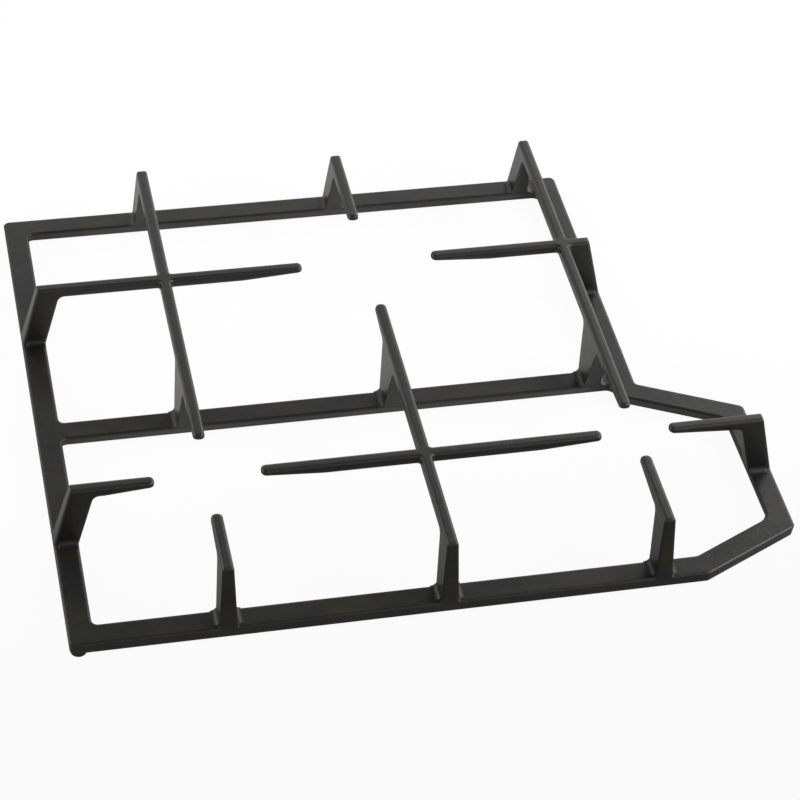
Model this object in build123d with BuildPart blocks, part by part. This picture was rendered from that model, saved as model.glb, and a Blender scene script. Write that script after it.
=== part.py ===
"""Pan support of a gas hob: one iron casting that carries pans over three burners.

A flat bar frame stands on the hob on four cast feet. Legs rise from the bars, lean in over the
burners and run on as level fingers, whose tips stand round each burner. Lengths in millimetres,
+Z up, origin under the middle of the casting on the plane of the feet.
"""
import os
from math import atan, cos, pi, sin, tan

from build123d import *

# Bar frame, seen from above
overall_width = 468.4       # left bar's outer side to the bulge bar's outer side
overall_depth = 396.0       # front bar's outer side to the rear bar's outer side
bulge_reach = 66.8          # how far the bulge stands out past the right bar
bulge_length = 174.0        # from the front bar's outer side to the rear end of the bulge
bulge_run = 31.0            # length along Y over which each oblique bar reaches the bulge bar
middle_bar_gap = 1.0        # rear end of the bulge to the middle bar's front side
bar_width = 15.7            # at the foot of the bevels
bar_thickness = 8.0
corner_radius = 4.0         # frame corners, inside and outside
bulge_corner_radius = 9.0   # the same inside the bulge
bar_edge_bevel = 1.0        # height of the bevel along the bars' upper edges
bevel_lean = 45.0           # degrees
outer_draft = 5.0           # lean of the frame's outer sides, degrees
inner_draft = 20.0          # lean of the bars' sides round the two cells, degrees

# Burners, seen from above
front_burner_inset = 96.7   # left bar's and bulge bar's outer sides to the front burners' centres
front_burner_set = 88.0     # front bar's outer side to the front burners' centres
rear_burner_set = 273.0     # front bar's outer side to the rear burner's centre
rear_gap = 89.5             # between opposite finger tips over the rear burner
left_gap = 66.5             # the same over the front left burner
right_gap = 45.0            # the same over the front right burner

# Fingers
finger_rise = 44.5          # bar tops to finger tops
finger_depth = 6.0          # height of a finger's side
finger_width = 7.2          # at the top
finger_edge_radius = 2.0    # rounding along the fingers' upper edges
tip_radius = 3.2            # rounding of a tip, seen from above
tip_depth = 3.2             # height of a finger's side at its tip
tip_taper = 40.0            # length over which the underside rises to the tip
crossing_radius = 2.0       # fillet in the inner corners where two fingers cross

# Legs
leg_width = 11.2            # at the bar top
leg_lean = 10.0             # how far a leg's outer face leans in at the finger tops, at the rear
front_leg_lean = 8.0        # the same on the front bar
side_leg_lean = 11.5        # the same on the left, right and bulge bars
leg_spread = 10.0           # how far a leg's inner face runs in below the finger
leg_crook_radius = 5.0      # fillet between a leg's inner face and the finger's underside
leg_crook_flat = 7.0        # level underside kept between a crook and the rise to the tip
leg_root_radius = 4.0       # fillet between a leg's sides and the bar's top
leg_root_setback = 0.8      # where that fillet starts, behind the rounding of the leg's outer face
leg_edge_radius = 1.3       # rounding round a leg's outer face

# Cast feet under the frame
foot_height = 4.0
foot_radius = 5.0
foot_inset = 6.3            # foot centre from the bars' outer sides

# Levels
bar_top = foot_height + bar_thickness
leg_bottom = bar_top - bar_edge_bevel
finger_top = bar_top + finger_rise
finger_under = finger_top - finger_depth

# Lines of the plan
left_x = -overall_width / 2
bulge_x = overall_width / 2
right_x = bulge_x - bulge_reach
front_y = -overall_depth / 2
rear_y = overall_depth / 2
middle_y = front_y + bulge_length + middle_bar_gap + bar_width / 2
front_row_y = front_y + front_burner_set
rear_row_y = front_y + rear_burner_set
left_burner_x = left_x + front_burner_inset
right_burner_x = bulge_x - front_burner_inset
up = Vector(0, 0, 1)
to_rear = Vector(0, 1, 0)
to_front = Vector(0, -1, 0)
to_right = Vector(1, 0, 0)
to_left = Vector(-1, 0, 0)

# A leg's section across the finger: drafted sides that end in a fillet on the bar's top
root_half = leg_width / 2
top_half = finger_width / 2
side_slope = atan((root_half - top_half) / finger_rise)
bottom_half = root_half + bar_edge_bevel * tan(side_slope)
root_flare = leg_root_radius * tan((pi / 2 - side_slope) / 2)
flare_half = root_half + root_flare
fillet_half = root_half - root_flare * sin(side_slope)
fillet_top = bar_top + root_flare * cos(side_slope)

# A leg's side view: both faces lean towards the burner
inner_slope = leg_spread / (finger_under - bar_top)
middle_slope = leg_lean / finger_rise
middle_crook = bar_width / 2 + middle_slope * (finger_under - bar_top)
steepest = min(leg_lean, front_leg_lean, side_leg_lean) / (finger_top - leg_bottom)


def finger(start, toward, length, lean=None, middle_leg=None):
    """A finger from start to its tip, which is length away in the direction toward.

    With a lean it stands on a leg whose outer face meets the bar's outer side at start, otherwise
    start is a second tip. middle_leg is the distance along it of a leg astride the middle bar.
    """
    crooks = []
    flares = []
    if lean is not None:
        flare_start = leg_edge_radius + leg_root_setback
        flare_start += (fillet_top - leg_bottom) * lean / (finger_top - leg_bottom)
        crooks += [bar_width + leg_spread]
        flares += [(flare_start, bar_width)]
    if middle_leg is not None:
        near, far = middle_leg - bar_width / 2, middle_leg + bar_width / 2
        crooks += [middle_leg - middle_crook, middle_leg + middle_crook]
        flares += [(near, far)]
    level_end = max([length - tip_taper] + [crook + leg_crook_flat for crook in crooks])

    with BuildPart() as body:
        # Side view, along the run
        with BuildSketch(Plane(origin=start, x_dir=toward, z_dir=toward.cross(up))) as side:
            root = [(tip_taper, finger_under), (0, finger_top - tip_depth), (0, finger_top)]
            if lean is not None:
                root = [(lean, finger_under), (lean, finger_top)]
            tip = [(length, finger_top), (length, finger_top - tip_depth), (level_end, finger_under)]
            with BuildLine():
                Polyline(*root, *tip, close=True)
            make_face()
            if lean is not None:
                with BuildLine():
                    Polyline(
                        (0, leg_bottom),
                        (bar_width, leg_bottom),
                        (bar_width, bar_top),
                        (bar_width + inner_slope * finger_rise, finger_top),
                        (lean, finger_top),
                        close=True,
                    )
                make_face()
            if middle_leg is not None:
                with BuildLine():
                    Polyline(
                        (near, bar_top),
                        (near, leg_bottom),
                        (far, leg_bottom),
                        (far, bar_top),
                        (far + leg_lean, finger_top),
                        (near - leg_lean, finger_top),
                        close=True,
                    )
                make_face()
            for crook in crooks:
                fillet(side.vertices().sort_by_distance((crook, finger_under))[0], leg_crook_radius)
        extrude(amount=bottom_half, both=True)

        # Section across the run, with drafted sides
        with BuildSketch(Plane(origin=start, x_dir=up.cross(toward), z_dir=toward)):
            with BuildLine():
                Polyline(
                    (-bottom_half, leg_bottom),
                    (bottom_half, leg_bottom),
                    (top_half, finger_top),
                    (-top_half, finger_top),
                    close=True,
                )
            make_face()
        extrude(amount=length, mode=Mode.INTERSECT)

        # Rounded tips
        overhead = up * (finger_top + finger_depth)
        steep = body.edges().filter_by_position(Axis.Z, leg_bottom, finger_top, inclusive=(False, False))
        tip_edges = steep.sort_by_distance(start + toward * length + overhead)[:2]
        if lean is None:
            tip_edges += steep.sort_by_distance(start + overhead)[:2]
        fillet(tip_edges, tip_radius)

        # Fillets from the legs' sides to the bars' tops
        for flare_near, flare_far in flares:
            flare_origin = start + toward * flare_near
            with BuildSketch(Plane(origin=flare_origin, x_dir=up.cross(toward), z_dir=toward)):
                with BuildLine():
                    Polyline(
                        (-flare_half, bar_top),
                        (-flare_half, leg_bottom),
                        (flare_half, leg_bottom),
                        (flare_half, bar_top),
                    )
                    RadiusArc((flare_half, bar_top), (fillet_half, fillet_top), leg_root_radius)
                    Line((fillet_half, fillet_top), (-fillet_half, fillet_top))
                    RadiusArc((-fillet_half, fillet_top), (-flare_half, bar_top), leg_root_radius)
                make_face()
            extrude(amount=flare_far - flare_near)
    return body.part


def leg_fronts(group):
    """The legs' outer faces: flat faces that lean back a little from the upright."""
    flat = group.faces().filter_by(GeomType.PLANE)
    return flat.filter_by(lambda face: steepest / 2 < face.normal_at().Z < 1 / 2)


def rounded(fingers, crossing=None):
    """Fingers as one body with rounded upper edges. Two that cross at crossing are filleted there."""
    with BuildPart() as group:
        add(fingers)
        if crossing is not None:
            steep = group.edges().filter_by_position(
                Axis.Z, finger_under, finger_top, inclusive=(False, False)
            )
            fillet(steep.sort_by_distance(crossing + up * finger_top)[:4], crossing_radius)
        top = group.faces().sort_by(Axis.Z)[-1]
        shoulders = leg_fronts(group).edges()
        fillet([edge for edge in top.edges() if edge not in shoulders], finger_edge_radius)
        rims = leg_fronts(group).edges()
        fillet([edge for edge in rims if edge.center().Z > leg_bottom + bar_edge_bevel], leg_edge_radius)
    return group.part


# Plan of the bar frame at the foot of its bevels: an outline with one bulged side
with BuildSketch() as outline:
    with BuildLine():
        Polyline(
            (left_x, front_y),
            (right_x, front_y),
            (bulge_x, front_y + bulge_run),
            (bulge_x, front_y + bulge_length - bulge_run),
            (right_x, front_y + bulge_length),
            (right_x, rear_y),
            (left_x, rear_y),
            close=True,
        )
    make_face()

# The two cells inside it, before and behind the middle bar
with BuildSketch() as cells:
    add(outline.sketch)
    offset(amount=-bar_width, kind=Kind.INTERSECTION, mode=Mode.REPLACE)
    with Locations(((left_x + right_x) / 2, middle_y)):
        Rectangle(right_x - left_x - bar_width, bar_width, mode=Mode.SUBTRACT)
    bulge_start = right_x - bar_width / 2
    fillet(cells.vertices().filter_by_position(Axis.X, bulge_start, bulge_x), bulge_corner_radius)
    fillet(cells.vertices().filter_by_position(Axis.X, left_x, bulge_start), corner_radius)

# Bar frame: bevelled above the plan's level and narrower below it
with BuildSketch() as ring:
    add(outline.sketch)
    fillet(ring.vertices(), corner_radius)
with BuildPart() as bar_frame:
    ring_plan = Pos(0, 0, leg_bottom) * ring.sketch
    cell_plan = Pos(0, 0, leg_bottom) * cells.sketch
    extrude(ring_plan, amount=bar_edge_bevel, taper=bevel_lean)
    extrude(ring_plan, amount=leg_bottom - foot_height, dir=(0, 0, -1), taper=outer_draft)
    extrude(cell_plan, amount=bar_edge_bevel, taper=-bevel_lean, mode=Mode.SUBTRACT)
    extrude(cell_plan, amount=leg_bottom - foot_height, dir=(0, 0, -1), taper=-inner_draft, mode=Mode.SUBTRACT)

# Long fingers from the rear bar over the middle bar, to the front burners
rear_left = Vector(left_burner_x, rear_y)
rear_right = Vector(right_burner_x, rear_y)
rear_middle_leg = rear_y - middle_y
long_left_finger = finger(
    rear_left, to_front, rear_y - front_row_y - left_gap / 2, leg_lean, rear_middle_leg
)
long_right_finger = finger(
    rear_right, to_front, rear_y - front_row_y - right_gap / 2, leg_lean, rear_middle_leg
)

# Fingers on the rear burner's line, one from each of the rear and front bars
rear_finger = finger(Vector(0, rear_y), to_front, rear_y - rear_row_y - rear_gap / 2, leg_lean)
front_finger = finger(
    Vector(0, front_y), to_rear, rear_row_y - rear_gap / 2 - front_y, front_leg_lean, middle_y - front_y
)

# Short fingers from the front bar, to the front burners
front_left_finger = finger(
    Vector(left_burner_x, front_y), to_rear, front_row_y - left_gap / 2 - front_y, front_leg_lean
)
front_right_finger = finger(
    Vector(right_burner_x, front_y), to_rear, front_row_y - right_gap / 2 - front_y, front_leg_lean
)

# Cross fingers to the rear burner, from the left and right bars
left_cross_finger = finger(Vector(left_x, rear_row_y), to_right, -rear_gap / 2 - left_x, side_leg_lean)
right_cross_finger = finger(Vector(right_x, rear_row_y), to_left, right_x - rear_gap / 2, side_leg_lean)

# Cross fingers to the front burners, from the left bar and the bulge bar, and one free at both ends
left_front_finger = finger(
    Vector(left_x, front_row_y), to_right, left_burner_x - left_gap / 2 - left_x, side_leg_lean
)
bulge_finger = finger(
    Vector(bulge_x, front_row_y), to_left, bulge_x - right_burner_x - right_gap / 2, side_leg_lean
)
free_start = left_burner_x + left_gap / 2
free_finger = finger(Vector(free_start, front_row_y), to_right, right_burner_x - right_gap / 2 - free_start)

# The casting: frame, fingers and feet in one
with BuildPart() as pan_support:
    add(bar_frame.part)
    add(rounded([long_left_finger, left_cross_finger], Vector(left_burner_x, rear_row_y)))
    add(rounded([long_right_finger, right_cross_finger], Vector(right_burner_x, rear_row_y)))
    add(rounded([front_finger, free_finger], Vector(0, front_row_y)))
    for single in (rear_finger, front_left_finger, front_right_finger, left_front_finger, bulge_finger):
        add(rounded([single]))
    with Locations(
        (left_x + foot_inset, front_y + foot_inset, foot_height / 2),
        (left_x + foot_inset, rear_y - foot_inset, foot_height / 2),
        (right_x - foot_inset, rear_y - foot_inset, foot_height / 2),
        (bulge_x - foot_inset, front_row_y, foot_height / 2),
    ):
        Cylinder(foot_radius, foot_height)

pan_support.part.label = "pan_support"
os.makedirs("parts", exist_ok=True)
export_step(pan_support.part, "parts/pan_support.step")
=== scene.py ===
"""Looks of a hob pan support: the enamelled casting on a pale studio floor, seen from above its front.

Lengths are in metres, in the casting's own frame: x to the right, y to the rear, z up from the floor.
"""

from math import cos, radians, sin

import bpy
import numpy as np
from mathutils import Matrix, Vector

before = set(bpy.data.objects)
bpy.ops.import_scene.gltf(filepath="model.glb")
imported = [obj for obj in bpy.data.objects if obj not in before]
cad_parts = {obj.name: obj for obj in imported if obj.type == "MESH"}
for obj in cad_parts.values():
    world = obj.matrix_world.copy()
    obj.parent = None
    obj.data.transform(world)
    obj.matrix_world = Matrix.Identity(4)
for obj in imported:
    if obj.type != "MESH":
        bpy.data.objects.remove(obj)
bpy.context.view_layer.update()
scene = bpy.context.scene
scene.view_settings.view_transform = "Standard"

# The casting: bars, legs, fingers and feet in one piece of grey iron, cast in sand and shot-blasted.
# It is sprayed and fired with a satin black enamel, which flows round the edges and thins there,
# and keeps a trace of the sand's grain. A paler colour on the tops of the fingers is a painted sheen,
# which stands in for the light that those tops catch.
enamel_black = (0.0050, 0.0052, 0.0056, 1.0)
enamel_olive = (0.0122, 0.0136, 0.0015, 1.0)
enamel_brown = (0.0170, 0.0098, 0.0070, 1.0)
enamel_thin = (0.0300, 0.0290, 0.0260, 1.0)
# Painted sheen: the paler colour given to the tops of the fingers in place of the light they catch
enamel_painted_sheen = (0.0285, 0.0280, 0.0250, 1.0)
enamel_ior, enamel_specular = 1.5, 0.5
enamel_roughness = (0.36, 0.46)
cloud_size, cloud_detail, cloud_span = 0.030, 3, (0.38, 0.62)
stain_size, stain_detail, stain_span = 0.018, 2, (0.42, 0.58)
grain_size, grain_detail, grain_span = 0.0009, 4, (0.3, 0.7)
grain_harshness, grain_depth = 0.6, 0.00004
sag_size, sag_detail, sag_depth = 0.007, 1, 0.00012
edge_flow, edge_samples = 0.0020, 8
thin_span = (1.0, 0.75)
painted_sheen_heights, painted_sheen_share = (0.0548, 0.0563), 0.45

enamel = bpy.data.materials.new("satin_black_enamel")
enamel.use_nodes = True
enamel_tree = enamel.node_tree
nodes, links = enamel_tree.nodes, enamel_tree.links
gloss = nodes["Principled BSDF"]
gloss.inputs["IOR"].default_value = enamel_ior
gloss.inputs["Specular IOR Level"].default_value = enamel_specular
casting_place = nodes.new("ShaderNodeTexCoord").outputs["Object"]


def mottle(size, detail, harshness=0.5):
    """Noise on the casting's own coordinates, with lumps about size metres across."""
    node = nodes.new("ShaderNodeTexNoise")
    node.inputs["Scale"].default_value = 1 / size
    node.inputs["Detail"].default_value = detail
    node.inputs["Roughness"].default_value = harshness
    links.new(casting_place, node.inputs["Vector"])
    return node.outputs["Fac"]


def axes(tree, place):
    """The x, y and z of a place, each as an output of its own."""
    node = tree.nodes.new("ShaderNodeSeparateXYZ")
    tree.links.new(place, node.inputs["Vector"])
    return node.outputs


def graded(tree, value, span, levels=(0.0, 1.0), easing="LINEAR"):
    """Value carried from the span's two ends over to the two levels, and held beyond both ends.

    The share t of the span goes over in a straight line, or eased as 3 t squared less 2 t cubed.
    """
    node = tree.nodes.new("ShaderNodeMapRange")
    node.interpolation_type = easing
    node.inputs["From Min"].default_value, node.inputs["From Max"].default_value = span
    node.inputs["To Min"].default_value, node.inputs["To Max"].default_value = levels
    tree.links.new(value, node.inputs["Value"])
    return node.outputs["Result"]


def tint(share, under, over):
    """Colour that goes from under to over as share goes from 0 to 1. Each is a colour or a socket."""
    node = nodes.new("ShaderNodeMix")
    node.data_type = "RGBA"
    for name, colour in (("A", under), ("B", over)):
        socket = next(s for s in node.inputs if s.name == name and s.type == "RGBA")
        if isinstance(colour, tuple):
            socket.default_value = colour
        else:
            links.new(colour, socket)
    links.new(share, node.inputs["Factor"])
    return next(s for s in node.outputs if s.type == "RGBA")


def relief(height, depth, normal):
    """Bumps as deep as depth metres from a height that runs from 0 to 1, laid over normal."""
    node = nodes.new("ShaderNodeBump")
    node.inputs["Distance"].default_value = depth
    links.new(height, node.inputs["Height"])
    links.new(normal, node.inputs["Normal"])
    return node.outputs["Normal"]


clouds = mottle(cloud_size, cloud_detail)
stains = mottle(stain_size, stain_detail)
grain = mottle(grain_size, grain_detail, grain_harshness)
sag = mottle(sag_size, sag_detail)

# The cosine between the flowing enamel's normal and the bare face's drops where the enamel runs thin
flow = nodes.new("ShaderNodeBevel")
flow.samples = edge_samples
flow.inputs["Radius"].default_value = edge_flow
turned = nodes.new("ShaderNodeVectorMath")
turned.operation = "DOT_PRODUCT"
links.new(flow.outputs["Normal"], turned.inputs[0])
links.new(nodes.new("ShaderNodeNewGeometry").outputs["Normal"], turned.inputs[1])
thinned = graded(enamel_tree, turned.outputs["Value"], thin_span)
# Painted sheen: the top millimetre and a half of the casting, the tops of the fingers, is mixed
# towards a paler colour
painted_sheen = graded(enamel_tree, axes(enamel_tree, casting_place)["Z"], painted_sheen_heights, (0.0, painted_sheen_share))

coat = tint(graded(enamel_tree, stains, stain_span), enamel_olive, enamel_brown)
coat = tint(graded(enamel_tree, clouds, cloud_span), enamel_black, coat)
coat = tint(painted_sheen, coat, enamel_painted_sheen)
links.new(tint(thinned, coat, enamel_thin), gloss.inputs["Base Color"])
links.new(graded(enamel_tree, grain, grain_span, enamel_roughness), gloss.inputs["Roughness"])
wavy = relief(sag, sag_depth, flow.outputs["Normal"])
links.new(relief(grain, grain_depth, wavy), gloss.inputs["Normal"])

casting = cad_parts["pan_support"]
casting.data.materials.clear()
casting.data.materials.append(enamel)

# The studio floor: a wide matt sheet of paper that the feet stand on. Its colour carries painted
# shade:
# nearly white under the casting and behind it, and darkened to dark grey towards the front, in place
# of the shade that falls in front of the casting. To the camera it is lifted almost to white, which
# leaves a trace of the casting's shadow, and in reflections it is lifted a little.
floor_reach = 4.0
painted_shade_span, painted_shade_grey = (-0.28, 0.08), (0.06, 0.98)
paper_roughness = 0.9
floor_lift = {"Is Camera Ray": 0.95, "Is Glossy Ray": 0.15, "Is Transmission Ray": 0.15}

floor_mesh = bpy.data.meshes.new("studio_floor")
corners = floor_reach * np.array([(-1, -1, 0), (1, -1, 0), (1, 1, 0), (-1, 1, 0)], float)
floor_mesh.from_pydata(corners.tolist(), [], [(0, 1, 2, 3)])
floor = bpy.data.objects.new("studio_floor", floor_mesh)
scene.collection.objects.link(floor)

paper = bpy.data.materials.new("paper_with_painted_shade")
paper.use_nodes = True
paper_tree = paper.node_tree
paper_nodes, paper_links = paper_tree.nodes, paper_tree.links
sheet = paper_nodes["Principled BSDF"]
sheet.inputs["Roughness"].default_value = paper_roughness
paper_place = paper_nodes.new("ShaderNodeTexCoord").outputs["Object"]
# Painted shade: the paper's colour runs from dark grey at the front to near white under and behind the
# casting
painted_shade = graded(paper_tree, axes(paper_tree, paper_place)["Y"], painted_shade_span, painted_shade_grey, "SMOOTHSTEP")
paper_links.new(painted_shade, sheet.inputs["Base Color"])

# The lift is the sum of the kinds of ray, each 0 or 1, times their amounts
ray = paper_nodes.new("ShaderNodeLightPath")
lift = None
for kind, amount in floor_lift.items():
    weighed = paper_nodes.new("ShaderNodeMath")
    weighed.operation = "MULTIPLY_ADD"
    weighed.inputs[1].default_value = amount
    weighed.inputs[2].default_value = 0.0
    paper_links.new(ray.outputs[kind], weighed.inputs[0])
    if lift is not None:
        paper_links.new(lift, weighed.inputs[2])
    lift = weighed.outputs["Value"]
blend = paper_nodes.new("ShaderNodeMixShader")
paper_links.new(lift, blend.inputs["Fac"])
paper_links.new(sheet.outputs["BSDF"], blend.inputs[1])
paper_links.new(paper_nodes.new("ShaderNodeEmission").outputs["Emission"], blend.inputs[2])
paper_links.new(blend.outputs["Shader"], paper_nodes["Material Output"].inputs["Surface"])
floor_mesh.materials.append(paper)

# Studio light: a white room, brighter to the right, to the rear and low down than to the left, in
# front and overhead, and softboxes at the right, the rear and the left, which run along the edges of
# the enamel. A softbox has its name, place, width, height and power in watts, and faces the casting.
room_white = (1, 1, 1, 1)
room_levels = {
    "X": ((0.0, 0.3), (0.75, 1.25)),
    "Y": ((-0.5, 0.1), (0.75, 1.0)),
    "Z": ((0.58, 0.74), (0.90, 0.08)),
}
softboxes = (
    ("right_softbox", (1.35, -0.6, 1.0), 0.8, 0.8, 19.0),
    ("right_rear_softbox", (0.95, 0.6, 0.5), 1.2, 0.8, 4.0),
    ("high_right_softbox", (0.95, 1.05, 1.2), 0.6, 0.6, 0.8),
    ("low_rear_softbox", (-0.15, 0.75, 0.35), 1.0, 0.5, 0.7),
    ("low_left_softbox", (-0.75, 0.1, 0.3), 0.8, 0.4, 2.5),
)

room = bpy.data.worlds.new("studio_room")
room.use_nodes = True
room_tree = room.node_tree
room_nodes, room_links = room_tree.nodes, room_tree.links
walls = room_nodes["Background"]
walls.inputs["Color"].default_value = room_white
bearing = axes(room_tree, room_nodes.new("ShaderNodeTexCoord").outputs["Generated"])

# The room's strength is the product of one level for each axis of the direction looked in
glow = None
for axis, (span, levels) in room_levels.items():
    fade = graded(room_tree, bearing[axis], span, levels, "SMOOTHSTEP")
    if glow is None:
        glow = fade
    else:
        both = room_nodes.new("ShaderNodeMath")
        both.operation = "MULTIPLY"
        room_links.new(glow, both.inputs[0])
        room_links.new(fade, both.inputs[1])
        glow = both.outputs["Value"]
room_links.new(glow, walls.inputs["Strength"])
scene.world = room

for name, spot, width, tall, power in softboxes:
    lamp = bpy.data.lights.new(name, "AREA")
    lamp.shape = "RECTANGLE"
    lamp.size, lamp.size_y = width, tall
    lamp.energy = power
    softbox = bpy.data.objects.new(name, lamp)
    softbox.location = spot
    softbox.rotation_mode = "QUATERNION"
    softbox.rotation_quaternion = (-Vector(spot)).to_track_quat("-Z", "Y")
    scene.collection.objects.link(softbox)

# The camera stands left of the front, well above the hob, and leans a little to one side.
# Its place, its angles and its focal length in pixels of the picture were fitted to the bars' edges.
camera_place = Vector((-0.3246, -1.2034, 1.1911))
azimuth, elevation, lean = radians(15.597), radians(43.77), radians(5.251)
focal_pixels, image_pixels = 2568.2, 800
sensor_millimetres = 36.0
ahead = Vector((sin(azimuth) * cos(elevation), cos(azimuth) * cos(elevation), -sin(elevation)))
level_right = Vector((cos(azimuth), -sin(azimuth), 0))
level_up = level_right.cross(ahead)
right = cos(lean) * level_right + sin(lean) * level_up
up = cos(lean) * level_up - sin(lean) * level_right
lens = bpy.data.cameras.new("camera")
lens.sensor_width = sensor_millimetres
lens.lens = sensor_millimetres * focal_pixels / image_pixels
camera = bpy.data.objects.new("camera", lens)
camera_turn = Matrix((right, up, -ahead)).transposed()
camera.matrix_world = Matrix.Translation(camera_place) @ camera_turn.to_4x4()
scene.collection.objects.link(camera)
scene.camera = camera
